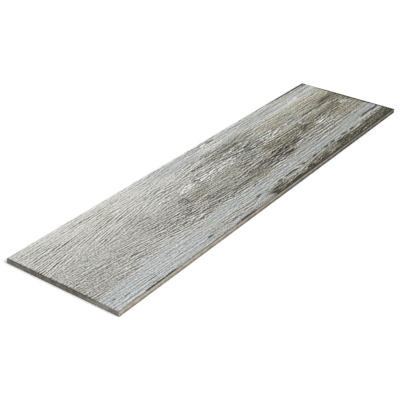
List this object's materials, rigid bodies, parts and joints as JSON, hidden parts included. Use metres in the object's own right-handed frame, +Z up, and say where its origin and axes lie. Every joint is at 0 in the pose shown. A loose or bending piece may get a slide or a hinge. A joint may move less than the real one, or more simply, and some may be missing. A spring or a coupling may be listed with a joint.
{
  "type": "porcelain floor tile",
  "caption": "Long rectangular wood-look porcelain plank tile with a textured matte glazed face, square edges and a keyed back, laid in adhesive to make a hard floor.",
  "frame": {"origin": "middle of the bedding face, the underside that lies in the adhesive", "axes": "+X along the length and the grain, +Y across the width, +Z up out of the glazed face"},
  "size_m": [0.9, 0.225, 0.009],
  "materials": {
    "glazed_porcelain": "matte"
  },
  "bodies": {
    "root": {"floor_tile": "glazed_porcelain"}
  },
  "joints": []
}
